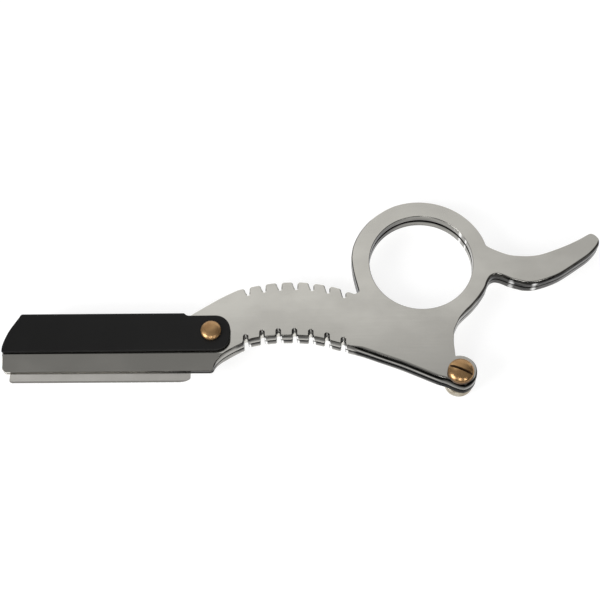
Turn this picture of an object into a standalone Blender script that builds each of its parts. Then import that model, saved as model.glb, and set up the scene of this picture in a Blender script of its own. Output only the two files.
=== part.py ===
"""A barber's finger razor: two steel plates on one hinge screw, a lock channel that swings, and a half blade.

The hinge axis is X = Y = 0. X runs along the blade's edge, Y towards the finger ring and Z through the plates.
The razor lies on Z = 0, which is the flat end of the hinge nut.
"""

import math

import bmesh
import bpy
from mathutils import Matrix, Vector

mm = 0.001

# Clearances and the overrun that every cutter has past the wall it cuts.
plate_gap = 0.3 * mm
seat_gap = 0.12 * mm
running_gap = 0.08 * mm
channel_gap = 0.3 * mm
overrun = 2.0 * mm

# The two plates, which share one outline.
plate_thickness = 2.2 * mm
edge_rounding = 0.35 * mm
holder_reach = 108.1 * mm
holder_height = 12.75 * mm
lip_drop = 1.37 * mm
lip_reach = 57.8 * mm
lip_corner = 1.1 * mm
lip_turn = (270, 350)
nose_depth = 4.0 * mm
lip_thickness = 0.65 * mm
bevel_height = 3.6 * mm
crown_height = 22.45 * mm
shoulder_reach = 65.2 * mm

# The finger ring, the tang behind it and the hinge lobe.
finger_bore = 25.1 * mm
ring_diameter = 33.8 * mm
ring_centre = (-8.15 * mm, 28.94 * mm)
ring_offset = (-0.25 * mm, -0.32 * mm)
ring_span = (19, 165)
tang_reach = 35.4 * mm
tang_height = 36.26 * mm
lobe_radius = 3.98 * mm
lobe_centre = (-0.08 * mm, 0.3 * mm)
lobe_span = (-78, 103)

# The grip notches in both edges of the neck.
notch_count = 7
notch_pitch = 3.855 * mm
notch_width = 1.02 * mm
notch_depth = 1.8 * mm
notch_centre = -38.82 * mm
tooth_corner = 0.45 * mm

# The hinge screw and its nut.
screw_radius = 1.9 * mm
thread_radius = 1.5 * mm
screw_head_radius = 3.1 * mm
screw_head_height = 2.15 * mm
screw_head_wall = 1.0 * mm
slot_width = 0.55 * mm
slot_depth = 0.8 * mm
slot_angle = math.radians(-24)
nut_radius = 3.4 * mm
nut_height = 2.7 * mm
nut_floor = 0.7 * mm
nut_rounding = 0.6 * mm

# The lock channel, bent from black sheet, and the rivet it swings on.
sheet = 0.9 * mm
bend_radius = 0.5 * mm
channel_height = 10.07 * mm
channel_inset = 0.1 * mm
channel_nose = 3.95 * mm
spine_inset = 0.1 * mm
ear_end = 4.5 * mm
ear_corner = 3.7 * mm
rivet_inset = 0.7 * mm
rivet_drop = 3.7 * mm
rivet_radius = 1.2 * mm
rivet_head_radius = 2.42 * mm
rivet_head_height = 1.4 * mm
rivet_edge = 0.2 * mm
washer_radius = 2.4 * mm
washer_thickness = 0.5 * mm
rear_head_radius = 1.9 * mm

# The half blade and the two studs that locate it.
blade_length = 43.0 * mm
blade_width = 11.0 * mm
blade_thickness = 0.1 * mm
blade_inset = 1.8 * mm
blade_exposure = 2.5 * mm
blade_corner = 0.8 * mm
blade_taper = 3.0 * mm
blade_rise = 1.1 * mm
stud_radius = 0.9 * mm
stud_spacing = 21.0 * mm
stud_reach = 1.4 * mm
blade_seat_gap = 0.12 * mm
rear_notch_gap = 0.3 * mm

# Sampling of curves: points to a full circle, and the longest step and turn along a free curve.
circle_points = 72
small_circle_points = 32
fillet_points = 16
curve_step = 1.6 * mm
curve_turn = math.radians(12)
path_points = 360
turned_points = 40
dome_points = 7

# Heights of the stack, from the resting plane up.
rear_low = nut_height + seat_gap
rear_high = rear_low + plate_thickness
front_low = rear_high + plate_gap
front_high = front_low + plate_thickness
middle = (rear_high + front_low) / 2
stack = front_high - rear_low
channel_half = stack / 2 + channel_gap + sheet

# Places that follow from the sizes above.
holder_top = lip_drop + holder_height
rivet_at = (-lip_reach - rivet_inset, holder_top - rivet_drop)
spine_inside = holder_top + channel_gap
spine_top = spine_inside + sheet
spine_end = spine_inset - shoulder_reach
channel_low = spine_top - channel_height
channel_left = channel_inset - holder_reach
blade_edge = lip_drop - blade_exposure
blade_back = blade_edge + blade_width
blade_left = blade_inset - holder_reach
blade_middle = blade_left + blade_length / 2

# Outline points as shares, from the lip's corner to the hinge: along lip_reach, and up crown_height.
underside_shares = (
    (-0.9995, 0.045), (-0.99, 0.085), (-0.97, 0.138), (-0.945, 0.185), (-0.916, 0.23), (-0.887, 0.27),
    (-0.846, 0.325), (-0.776, 0.355), (-0.71, 0.363), (-0.642, 0.358), (-0.576, 0.338), (-0.506, 0.284),
    (-0.403, 0.203), (-0.322, 0.125), (-0.24, 0.045), (-0.16, -0.045), (-0.099, -0.115), (-0.059, -0.15),
    (-0.028, -0.188), (-0.005, -0.212),
)
# Along tang_reach, and up tang_height: the stem, the tang's underside and tip, and its top.
tang_shares = (
    (-0.03, 0.142), (-0.034, 0.212), (-0.032, 0.248), (-0.027, 0.297), (-0.006, 0.346), (0.017, 0.385),
    (0.052, 0.421), (0.092, 0.458), (0.127, 0.496), (0.164, 0.543), (0.202, 0.602), (0.22, 0.647),
    (0.242, 0.681), (0.271, 0.695), (0.302, 0.692), (0.335, 0.679), (0.373, 0.661), (0.432, 0.643),
    (0.466, 0.634), (0.517, 0.632), (0.569, 0.641), (0.638, 0.663), (0.709, 0.694), (0.78, 0.738),
    (0.85, 0.786), (0.915, 0.832), (0.953, 0.867), (0.987, 0.907), (1, 0.935), (0.993, 0.964),
    (0.972, 0.989), (0.946, 1), (0.918, 0.99), (0.867, 0.96), (0.795, 0.924), (0.725, 0.894),
    (0.654, 0.867), (0.584, 0.845), (0.516, 0.836), (0.446, 0.837), (0.379, 0.845), (0.312, 0.869),
    (0.246, 0.901), (0.219, 0.922),
)
# The neck's back: along from the ring's foot to the shoulder, and up crown_height.
back_shares = (
    (0.021, 0.857), (0.048, 0.875), (0.073, 0.891), (0.136, 0.938), (0.233, 0.978), (0.325, 1),
    (0.418, 1.001), (0.511, 0.987), (0.609, 0.953), (0.663, 0.929), (0.697, 0.912), (0.741, 0.873),
    (0.799, 0.815), (0.855, 0.751), (0.91, 0.686), (0.956, 0.63), (0.989, 0.577),
)
# Along and up the ring's outer radius, from its middle: its left side, down to the neck.
ring_foot_shares = (
    (-0.985, 0.13), (-0.98, 0.02), (-0.964, -0.105), (-0.94, -0.226), (-0.914, -0.335), (-0.892, -0.448),
)
# The razor's left end: along nose_depth, and up holder_height.
nose_shares = ((1.0, 0.985), (0.775, 0.865), (0.525, 0.725), (0.325, 0.56), (0.15, 0.42), (0.0, 0.295))
# The channel's left end: along channel_nose, and up channel_height.
channel_nose_shares = ((1.0, 1.0), (0.62, 0.72), (0.36, 0.535), (0.16, 0.335), (0.035, 0.155), (0.0, 0.0))


def clear_scene():
    for item in list(bpy.data.objects):
        bpy.data.objects.remove(item, do_unlink=True)


def collection(name):
    made = bpy.data.collections.new(name)
    bpy.context.scene.collection.children.link(made)
    return made


def material(name, colour, metallic, roughness):
    made = bpy.data.materials.new(name)
    made.use_nodes = True
    shader = made.node_tree.nodes["Principled BSDF"]
    shader.inputs["Base Color"].default_value = (*colour, 1)
    shader.inputs["Metallic"].default_value = metallic
    shader.inputs["Roughness"].default_value = roughness
    made.diffuse_color = (*colour, 1)
    return made


def arc(centre, radius, start, end, full=circle_points):
    """Points along an arc, its angles in degrees."""
    steps = max(2, round(abs(end - start) / 360 * full))
    angles = [math.radians(start + (end - start) * i / steps) for i in range(steps + 1)]
    return [(centre[0] + radius * math.cos(a), centre[1] + radius * math.sin(a)) for a in angles]


def circle(centre, radius, full=circle_points):
    return arc(centre, radius, 0, 360, full)[:-1]


def smooth(knots, before, after):
    """A Catmull-Rom curve through the knots. before and after are the points that its ends head for."""
    points = [Vector(p) for p in (before, *knots, after)]
    curve = []
    for a, b, c, d in zip(points, points[1:], points[2:], points[3:]):
        turn = ((b - a).angle(c - b, 0) + (c - b).angle(d - c, 0)) / 2
        steps = max(1, math.ceil((c - b).length / curve_step), math.ceil(turn / curve_turn))
        for i in range(steps):
            t = i / steps
            bend = (2 * a - 5 * b + 4 * c - d) * t**2 + (3 * b - 3 * c + d - a) * t**3
            point = b + ((c - a) * t + bend) / 2
            curve.append((point.x, point.y))
    return [*curve, tuple(knots[-1])]


def placed(shares, width, height, base=0.0):
    return [(x * width, base + y * height) for x, y in shares]


def height_on(edge, x):
    """The height of an edge, listed along X, at one x."""
    for (x0, y0), (x1, y1) in zip(edge, edge[1:]):
        if x0 <= x <= x1:
            return y0 + (y1 - y0) * (x - x0) / (x1 - x0)
    raise ValueError("the edge doesn't reach that far")


def tooth_side(edge, wall, side, inward):
    """The rounded corner of the tooth beside a notch, from the edge round to the notch's wall."""
    lip = wall + side * tooth_corner
    foot = height_on(edge, lip) + inward * tooth_corner
    steps = max(1, round(fillet_points / 4))
    turns = [math.radians(90 * i / steps) for i in range(steps + 1)]
    return [(lip - side * tooth_corner * math.sin(a), foot - inward * tooth_corner * math.cos(a)) for a in turns]


def notched(edge, inward):
    """The edge, listed along X, with a round-bottomed notch at each pitch. inward is 1 up or -1 down."""
    half = notch_width / 2
    first = notch_centre - notch_pitch * (notch_count - 1) / 2
    points = list(edge)
    for i in range(notch_count):
        x = first + notch_pitch * i
        left_side = tooth_side(edge, x - half, -1, inward)
        right_side = tooth_side(edge, x + half, 1, inward)
        centre = (x, height_on(edge, x) + inward * (notch_depth - half))
        floor = [(a, centre[1] + inward * (b - centre[1])) for a, b in arc(centre, half, 180, 0, fillet_points)]
        cut = [*left_side, *floor, *reversed(right_side)]
        left = [p for p in points if p[0] < cut[0][0]]
        right = [p for p in points if p[0] > cut[-1][0]]
        points = left + cut + right
    return points


def plate_outline():
    """The plates' outline, anticlockwise from the left end of the lip."""
    corner = lip_corner / 2
    lip_left = arc((lip_corner - holder_reach, lip_drop + lip_corner), lip_corner, 180, 270, fillet_points)
    lip_right = arc((-lip_reach - corner, lip_drop + corner), corner, *lip_turn, fillet_points)
    ring_middle = (ring_centre[0] + ring_offset[0], ring_centre[1] + ring_offset[1])
    ring_radius = ring_diameter / 2
    ring = arc(ring_middle, ring_radius, *ring_span)
    foot = [(ring_middle[0] + x * ring_radius, ring_middle[1] + y * ring_radius) for x, y in ring_foot_shares]
    lobe = arc(lobe_centre, lobe_radius, *lobe_span, small_circle_points)
    under = placed(underside_shares, lip_reach, crown_height, lip_drop)
    tang = placed(tang_shares, tang_reach, tang_height)
    neck = foot[-1][0] + shoulder_reach
    back = [(foot[-1][0] - x * neck, y) for x, y in placed(back_shares, 1, crown_height, lip_drop)]
    nose = [(x * nose_depth - holder_reach, y) for x, y in placed(nose_shares, 1, holder_height, lip_drop)]
    shoulder = (-shoulder_reach, holder_top)
    under_edge = notched(smooth(under, lip_right[-1], lobe[0]), 1)
    back_edge = notched(smooth(back, foot[-1], shoulder)[::-1], -1)[::-1]
    return [
        *lip_left,
        *lip_right,
        *under_edge,
        *lobe,
        *smooth(tang, lobe[-1], ring[0]),
        *ring,
        *smooth(foot, ring[-1], back[0]),
        *back_edge,
        shoulder,
        *smooth(nose, (nose[0][0] + nose_depth, holder_top), lip_left[0]),
    ]


def mesh_from(item, group):
    """The evaluated curve or modified object as a plain mesh object, its caps welded and facing out."""
    graph = bpy.context.evaluated_depsgraph_get()
    mesh = bpy.data.meshes.new_from_object(item.evaluated_get(graph))
    made = bpy.data.objects.new(item.name + "_mesh", mesh)
    made.matrix_world = item.matrix_world
    group.objects.link(made)
    name = item.name
    bpy.data.objects.remove(item, do_unlink=True)
    made.name = name
    work = bmesh.new()
    work.from_mesh(mesh)
    bmesh.ops.remove_doubles(work, verts=work.verts, dist=0.001 * mm)
    bmesh.ops.recalc_face_normals(work, faces=work.faces)
    work.to_mesh(mesh)
    work.free()
    return made


def prism(name, loops, low, high, group, rounding=0.0):
    """A flat outline, with its holes, from height low to height high. rounding takes its edges off."""
    data = bpy.data.curves.new(name, "CURVE")
    data.dimensions = "2D"
    data.fill_mode = "BOTH"
    data.extrude = (high - low) / 2 - rounding
    data.bevel_depth = rounding
    data.bevel_resolution = 0
    data.offset = -rounding
    for loop in loops:
        spline = data.splines.new("POLY")
        spline.points.add(len(loop) - 1)
        for point, (x, y) in zip(spline.points, loop):
            point.co = (x, y, 0, 1)
        spline.use_cyclic_u = True
    item = bpy.data.objects.new(name, data)
    group.objects.link(item)
    bpy.context.view_layer.update()
    made = mesh_from(item, group)
    made.data.transform(Matrix.Translation((0, 0, (low + high) / 2)))
    return made


def turned(name, profile, centre, group):
    """A profile of (radius, height) points, listed top to bottom, turned about the vertical at centre.

    A profile that stays off the axis is a ring, so its last point joins its first.
    """
    mesh = bpy.data.meshes.new(name)
    edges = [(i, i + 1) for i in range(len(profile) - 1)]
    if profile[0][0] > 0:
        edges.append((len(profile) - 1, 0))
    mesh.from_pydata([(radius, 0, height) for radius, height in profile], edges, [])
    item = bpy.data.objects.new(name, mesh)
    item.location = (centre[0], centre[1], 0)
    group.objects.link(item)
    screw = item.modifiers.new("turn", "SCREW")
    screw.steps = turned_points
    screw.render_steps = turned_points
    screw.use_merge_vertices = True
    screw.merge_threshold = 0.001 * mm
    bpy.context.view_layer.update()
    return item


def boolean(item, other, operation):
    change = item.modifiers.new(f"{operation} {other.name}", "BOOLEAN")
    change.operation = operation
    change.object = other
    return item


def finish(item, look, sharp=35):
    """The piece's material, and smooth shading across its shallow edges."""
    item.data.materials.clear()
    item.data.materials.append(look)
    item.data.shade_smooth()
    item.data.set_sharp_from_angle(angle=math.radians(sharp))
    return item


def domed(radius, base, height, edge):
    """Profile points of a domed head above the height base: from its crown down to the top of its edge."""
    slopes = [math.radians(90 * i / (dome_points - 1)) for i in range(dome_points)]
    rise = height - edge
    return [(radius * math.sin(a), base + edge + rise * math.cos(a)) for a in slopes]


clear_scene()
razor = collection("finger_razor")
cutters = collection("cutters")

steel = material("polished_steel", (0.62, 0.61, 0.58), 1.0, 0.16)
blade_steel = material("blade_steel", (0.55, 0.55, 0.53), 1.0, 0.22)
black = material("black_satin_paint", (0.018, 0.018, 0.018), 0.0, 0.42)
brass = material("brass", (0.62, 0.42, 0.2), 1.0, 0.24)


def stud_places():
    return [(blade_middle + side * stud_spacing / 2, blade_back) for side in (-1, 1)]


def bevel_cutter(name, side):
    """A wedge that thins the holder to its lips. side is 1 on the front plate and -1 on the rear one."""
    face = stack / 2
    lip = plate_gap / 2 + lip_thickness
    slope = (face - lip) / bevel_height
    reach = lip_drop + bevel_height
    section = [
        (reach + overrun, face + slope * overrun),
        (reach + overrun, face + 2 * overrun),
        (lip_drop - overrun, face + 2 * overrun),
        (lip_drop - overrun, lip - slope * overrun),
    ]
    length = holder_reach - lip_reach + 2 * overrun
    wedge = prism(name, [section], 0, length, cutters)
    # The section's first axis becomes Y and its second Z, and the wedge runs along X.
    turn = Matrix(((0, 0, 1), (1, 0, 0), (0, side, 0))).to_4x4()
    wedge.matrix_world = Matrix.Translation((-holder_reach - overrun, 0, middle)) @ turn
    return wedge


def swing_notch(name, at, radius):
    """The path of a pin through the rear plate, open at the plate's back, as the plate swings on its hinge."""
    distance = math.hypot(*at)
    start = math.degrees(math.atan2(at[1], at[0]))
    leave = (crown_height + lip_drop - at[1] + overrun) / distance
    end = start - math.degrees(leave)
    outer = arc((0, 0), distance + radius, start, end, path_points)
    inner = arc((0, 0), distance - radius, end, start, path_points)
    closed = arc(at, radius, start + 180, start, small_circle_points)[1:-1]
    return prism(name, [outer + inner + closed], rear_low - overrun, rear_high + overrun, cutters)


def make_front_plate():
    ring = circle(ring_centre, finger_bore / 2)
    hinge = circle((0, 0), screw_radius + seat_gap / 2, small_circle_points)
    rivet = circle(rivet_at, rivet_radius + seat_gap / 2, small_circle_points)
    studs = [circle(at, stud_radius + seat_gap / 2, small_circle_points) for at in stud_places()]
    plate = prism("front_plate", [plate_outline(), ring], front_low, front_high, razor, edge_rounding)
    holes = [hinge, rivet, *studs]
    for i, hole in enumerate(holes):
        pin = prism(f"front_hole_{i + 1}", [hole], front_low - overrun, front_high + overrun, cutters)
        boolean(plate, pin, "DIFFERENCE")
    boolean(plate, bevel_cutter("front_bevel", 1), "DIFFERENCE")
    return finish(plate, steel)


def make_rear_plate():
    ring = circle(ring_centre, finger_bore / 2)
    hinge = circle((0, 0), screw_radius + running_gap, small_circle_points)
    plate = prism("rear_plate", [plate_outline(), ring], rear_low, rear_high, razor, edge_rounding)
    hole = prism("rear_hinge_hole", [hinge], rear_low - overrun, rear_high + overrun, cutters)
    boolean(plate, hole, "DIFFERENCE")
    boolean(plate, swing_notch("rivet_notch", rivet_at, rivet_radius + rear_notch_gap), "DIFFERENCE")
    for i, at in enumerate(stud_places()):
        boolean(plate, swing_notch(f"stud_notch_{i + 1}", at, stud_radius + rear_notch_gap), "DIFFERENCE")
    boolean(plate, bevel_cutter("rear_bevel", -1), "DIFFERENCE")
    return finish(plate, steel)


def channel_section():
    """The bent sheet, seen along X: across the stack and up to the spine, with rounded bends."""
    inner = channel_half - sheet
    foot = channel_low - overrun
    left = arc((bend_radius - channel_half, spine_top - bend_radius), bend_radius, 180, 90, fillet_points)
    right = arc((channel_half - bend_radius, spine_top - bend_radius), bend_radius, 90, 0, fillet_points)
    inside = [(inner, foot), (inner, spine_inside), (-inner, spine_inside), (-inner, foot)]
    return [(-channel_half, foot), *left, *right, (channel_half, foot), *inside]


def channel_side():
    """The channel's side, seen along Z: a curved nose at the left and a rounded ear round the rivet."""
    nose = placed(channel_nose_shares, channel_nose, channel_height, channel_low)
    nose = [(channel_left + x, y) for x, y in nose]
    right = rivet_at[0] + ear_end
    low = arc((right - ear_corner, channel_low + ear_corner), ear_corner, 270, 360, circle_points)
    high = arc((right - ear_corner, spine_inside - ear_corner), ear_corner, 0, 90, circle_points)
    step = [(spine_end + sheet, spine_inside), (spine_end, spine_top)]
    before = (2 * nose[0][0] - nose[1][0], 2 * nose[0][1] - nose[1][1])
    return [*low, *high, *step, *smooth(nose, before, (channel_left, channel_low - channel_nose))]


def make_lock_channel():
    length = rivet_at[0] + ear_end - channel_left + 2 * overrun
    channel = prism("lock_channel", [channel_section()], 0, length, razor)
    turn = Matrix(((0, 0, 1), (0, 1, 0), (-1, 0, 0))).to_4x4()
    channel.data.transform(Matrix.Translation((channel_left - overrun, 0, middle)) @ turn)
    channel.data.transform(Matrix.Translation((-rivet_at[0], -rivet_at[1], 0)))
    channel.matrix_world = Matrix.Translation((*rivet_at, 0))
    low = middle - channel_half - overrun
    high = middle + channel_half + overrun
    side = prism("channel_side", [channel_side()], low, high, cutters)
    boolean(channel, side, "INTERSECT")
    inner = channel_half - sheet
    right = rivet_at[0] + ear_end + overrun
    mouth = [(spine_end, channel_low), (right, channel_low), (right, spine_top + overrun)]
    mouth.append((spine_end, spine_top + overrun))
    opening = prism("ear_opening", [mouth], middle - inner, middle + inner, cutters)
    boolean(channel, opening, "DIFFERENCE")
    pin = circle(rivet_at, rivet_radius + running_gap, small_circle_points)
    hole = prism("ear_hole", [pin], low, high, cutters)
    boolean(channel, hole, "DIFFERENCE")
    return finish(channel, black)


def make_lock_rivet():
    head = middle + channel_half + seat_gap
    tail = middle - channel_half - 2 * seat_gap - washer_thickness
    front = domed(rivet_head_radius, head, rivet_head_height, rivet_edge)
    shank = [(rivet_head_radius, head), (rivet_radius, head), (rivet_radius, tail), (rear_head_radius, tail)]
    rear = [(x, tail - z) for x, z in reversed(domed(rear_head_radius, 0, tail, rivet_edge))]
    return finish(turned("lock_rivet", front + shank + rear, rivet_at, razor), brass)


def make_rivet_washer():
    high = middle - channel_half - seat_gap
    low = high - washer_thickness
    bore = rivet_radius + seat_gap / 2
    ring = [(bore, high), (washer_radius, high), (washer_radius, low), (bore, low)]
    return finish(turned("rivet_washer", ring, rivet_at, razor), brass)


def make_hinge_screw():
    base = front_high + seat_gap
    head = domed(screw_head_radius, base, screw_head_height, screw_head_wall)
    tip = nut_floor + seat_gap
    body = [
        (screw_head_radius, base),
        (screw_radius, base),
        (screw_radius, rear_low),
        (thread_radius, rear_low),
        (thread_radius, tip),
        (0, tip),
    ]
    screw = turned("hinge_screw", head + body, (0, 0), razor)
    top = base + screw_head_height
    long = screw_head_radius + overrun
    half = slot_width / 2
    slot = [(-long, -half), (long, -half), (long, half), (-long, half)]
    cut = prism("screw_slot", [slot], top - slot_depth, top + overrun, cutters)
    cut.rotation_euler.z = slot_angle
    boolean(screw, cut, "DIFFERENCE")
    return finish(screw, brass)


def make_hinge_nut():
    bore = thread_radius + seat_gap / 2
    foot = arc((nut_radius - nut_rounding, nut_rounding), nut_rounding, 0, -90, fillet_points)
    inside = [(0, nut_floor), (bore, nut_floor), (bore, nut_height)]
    return finish(turned("hinge_nut", [*inside, (nut_radius, nut_height), *foot, (0, 0)], (0, 0), razor), brass)


def make_stud(name, at):
    low = rear_high - stud_reach + plate_gap
    item = prism(name, [circle((0, 0), stud_radius, small_circle_points)], low, front_high - seat_gap, razor)
    item.location.x, item.location.y = at
    return finish(item, blade_steel)


def blade_outline():
    """Half of a double edge blade: its cutting edge faces down, and its back has a bay for each stud."""
    right = blade_left + blade_length
    bay = stud_radius + blade_seat_gap
    edge = arc((blade_left + blade_corner, blade_edge + blade_corner), blade_corner, 180, 270, fillet_points)
    # The right-hand corner is drawn out along the edge.
    for a, b in arc((0, 0), 1, 270, 360, small_circle_points):
        edge.append((right - blade_taper + blade_taper * a, blade_edge + blade_rise + blade_rise * b))
    back = [(right, blade_back)]
    for x, y in reversed(stud_places()):
        back += arc((x, y), bay, 0, -180, small_circle_points)
    return edge + back + [(blade_left, blade_back)]


def make_blade():
    low = middle - blade_thickness / 2
    return finish(prism("half_blade", [blade_outline()], low, low + blade_thickness, razor), blade_steel)


make_front_plate()
make_rear_plate()
make_lock_channel()
make_lock_rivet()
make_rivet_washer()
make_hinge_screw()
make_hinge_nut()
for label, place in zip(("outer", "inner"), stud_places()):
    make_stud(f"blade_stud_{label}", place)
make_blade()

for cutter in cutters.objects:
    cutter.hide_render = True
    cutter.display_type = "WIRE"
cutters.hide_render = True
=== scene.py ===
import math

import bmesh
import bpy
import numpy as np
from mathutils import Matrix, Vector
from mathutils.geometry import tessellate_polygon


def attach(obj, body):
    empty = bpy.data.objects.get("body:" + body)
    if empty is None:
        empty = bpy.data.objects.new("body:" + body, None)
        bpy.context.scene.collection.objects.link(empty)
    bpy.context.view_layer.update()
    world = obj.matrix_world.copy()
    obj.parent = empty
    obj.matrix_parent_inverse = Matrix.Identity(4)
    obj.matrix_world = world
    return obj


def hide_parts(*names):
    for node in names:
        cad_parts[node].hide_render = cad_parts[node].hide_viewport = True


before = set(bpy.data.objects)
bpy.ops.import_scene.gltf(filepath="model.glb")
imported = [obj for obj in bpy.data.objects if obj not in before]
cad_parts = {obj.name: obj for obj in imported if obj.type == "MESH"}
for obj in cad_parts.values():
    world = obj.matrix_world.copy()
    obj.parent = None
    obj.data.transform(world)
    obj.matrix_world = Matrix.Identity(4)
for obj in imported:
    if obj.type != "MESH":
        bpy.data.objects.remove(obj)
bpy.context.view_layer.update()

mm = 0.001
print("frame loaded:", len(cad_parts), "nodes")

# Lengths are in millimetres. X runs along the blade's edge, Y towards the finger ring, Z through the plates.
stack = dict(middle=5.17, gap=0.3, plate=2.2)
faceLow = stack["middle"] + stack["gap"] / 2
faceHigh = faceLow + stack["plate"]
far = 999  # past everything


# Curves: arrays of (x, y) points.

def ellipsePoints(centre, radii, start, end, count):
    # centre + radii (cos a, sin a), with a running evenly from start to end in degrees
    a = np.radians(np.linspace(start, end, count))
    return centre + np.c_[np.cos(a), np.sin(a)] * radii


def arcPoints(centre, radius, start, end, step=0.2):
    # a circle's arc, with a point about every step and at least every 9 degrees
    turn = abs(end - start)
    count = max(3, math.ceil(math.radians(turn) * radius / step), math.ceil(turn / 9))
    return ellipsePoints(centre, radius, start, end, count + 1)


def linePoints(start, end, step=0.4):
    # start + t (end - start), with t running evenly from 0 to 1
    start, end = np.array(start, float), np.array(end, float)
    count = max(2, math.ceil(np.linalg.norm(end - start) / step))
    return start + np.linspace(0, 1, count + 1)[:, None] * (end - start)


def throughKnots(knots, before, after, step=0.25):
    # Catmull-Rom: b + ((c - a) t + (2a - 5b + 4c - d) t^2 + (3b - 3c + d - a) t^3) / 2 between knots b and c
    p = np.array([before, *knots, after], float)
    parts = []
    for a, b, c, d in zip(p, p[1:], p[2:], p[3:]):
        t = np.linspace(0, 1, max(2, math.ceil(np.linalg.norm(c - b) / step)), endpoint=False)[:, None]
        parts.append(b + ((c - a) * t + (2 * a - 5 * b + 4 * c - d) * t**2 + (3 * b - 3 * c + d - a) * t**3) / 2)
    return np.concatenate([*parts, p[-2:-1]])


def bentPoints(a, corner, b, count=9):
    # (1-t)^2 a + 2t(1-t) corner + t^2 b, with t running evenly from 0 to 1
    t = np.linspace(0, 1, count)[:, None]
    return (1 - t) ** 2 * a + 2 * t * (1 - t) * np.array(corner) + t**2 * b


def joined(*parts):
    # the parts end to end, without the points that repeat the one before
    points = np.concatenate(parts)
    return points[np.linalg.norm(points - np.roll(points, 1, axis=0), axis=1) > 0.02]


def startingAt(points, place):
    # the same loop, begun at its point nearest to the place
    return np.roll(points, -int(np.argmin(np.linalg.norm(points - place, axis=1))), axis=0)


def risesPast(points, height, skip=5):
    # the number of the first point above the height, past the first few
    return int(np.argmax(points[skip:, 1] > height)) + skip


def softCorner(points, corner, reach):
    # the points of a loop within reach of a corner give way to a bend
    turned = startingAt(points, corner)
    away = np.linalg.norm(turned - corner, axis=1) > reach
    kept = turned[int(np.argmax(away)):len(turned) - int(np.argmax(away[::-1]))]
    return startingAt(np.r_[kept, bentPoints(kept[-1], corner, kept[0])[1:-1]], points[0])


def unit(vectors):
    return vectors / np.linalg.norm(vectors, axis=-1, keepdims=True)


def outOf(points):
    # the unit normal that points out of an anticlockwise loop: the mean of its two edges' normals at each point
    edges = unit(np.roll(points, -1, axis=0) - points)
    both = unit(edges + np.roll(edges, 1, axis=0))
    return np.c_[both[:, 1], -both[:, 0]]


def ramp(value, start, end):
    # (value - start) / (end - start), kept between 0 and 1
    return np.clip((value - start) / (end - start), 0, 1)


def toward(first, second, share):
    # first + (second - first) share
    return first + (second - first) * share


# Meshes: points, and blocks of faces with a normal for each corner.

def gridFaces(rows, columns, start=0, wrap=True):
    # the quad between rows k, k + 1 and columns i, i + 1 of a grid whose rows follow each other
    k, i = np.meshgrid(np.arange(rows - 1), np.arange(columns if wrap else columns - 1), indexing="ij")
    j = (i + 1) % columns
    quads = np.stack([k * columns + i, (k + 1) * columns + i, (k + 1) * columns + j, k * columns + j], axis=-1)
    return start + quads.reshape(-1, 4)


def capped(points, borders, normal):
    # triangles over a flat border and its holes, which are lists of point numbers, with one normal everywhere
    loops = [points[border, :2] for border in borders]
    tris = np.array(tessellate_polygon([np.c_[loop, np.zeros(len(loop))].tolist() for loop in loops]))
    a, b, c = np.concatenate(loops)[tris.T]
    area = (b[:, 0] - a[:, 0]) * (c[:, 1] - a[:, 1]) - (b[:, 1] - a[:, 1]) * (c[:, 0] - a[:, 0])
    wrong = (area < 0) == (normal[2] > 0)
    tris[wrong] = tris[wrong][:, ::-1]
    return np.concatenate(borders)[tris], np.broadcast_to(np.array(normal, float), (*tris.shape, 3))


def facingOut(faces, normals, kept):
    # the block as it is, or with its faces turned over
    return (faces, normals) if kept else (faces[:, ::-1], normals[:, ::-1])


def inset(edge, out, deep, size, a):
    # edge - out * size (1 - sin a) + deep * size (1 - cos a)
    return edge - out * size * (1 - np.sin(a)) + deep * size * (1 - np.cos(a))


def placed(name, data):
    item = bpy.data.objects.new(name, data)
    bpy.context.scene.collection.objects.link(item)
    return item


def addPiece(name, node, body, slot, look, points, blocks, marks={}):
    mesh = bpy.data.meshes.new(name)
    faces = [face for block, _ in blocks for face in block.tolist()]
    mesh.from_pydata((points * mm).tolist(), [], faces)
    mesh.polygons.foreach_set("use_smooth", np.ones(len(faces), bool))
    for label, values in marks.items():
        mesh.attributes.new(label, "FLOAT", "POINT").data.foreach_set("value", values.astype(np.float32))
    item = placed(name, mesh)
    mesh.materials.append(look)
    if blocks[0][1] is None:  # a turned piece, without normals of its own
        work = bmesh.new()
        work.from_mesh(mesh)
        bmesh.ops.remove_doubles(work, verts=work.verts, dist=0.0005 * mm)
        work.to_mesh(mesh)
        work.free()
        mesh.set_sharp_from_angle(angle=math.radians(42))
    else:
        normals = np.concatenate([normals.reshape(-1, 3) for _, normals in blocks])
        mesh.normals_split_custom_set(unit(normals).tolist())
    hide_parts(node)
    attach(item, body)
    print("piece", name, len(mesh.polygons), "faces")


# Finishes: node trees on the pieces' own coordinates and marks.

def feed(node, inputs):
    # each input, by name or number, takes a value or another node's output
    for name, value in inputs.items():
        if isinstance(value, bpy.types.NodeSocket):
            node.id_data.links.new(value, node.inputs[name])
        else:
            node.inputs[name].default_value = value
    return node


def put(tree, kind, inputs, out=0, **settings):
    # a new node with its settings and inputs, of which one output is given back
    node = tree.nodes.new("ShaderNode" + kind)
    for name, value in settings.items():
        setattr(node, name, value)
    return feed(node, inputs).outputs[out]


def newFinish(name, colour):
    made = bpy.data.materials.new(name)
    made.use_nodes = True
    made.diffuse_color = (*colour, 1)
    return made, made.node_tree


def shaded(made, metallic, colour, roughness, normal, **others):
    feed(made.node_tree.nodes["Principled BSDF"],
         {"Metallic": metallic, "Base Color": colour, "Roughness": roughness, "Normal": normal, **others})
    return made


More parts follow.
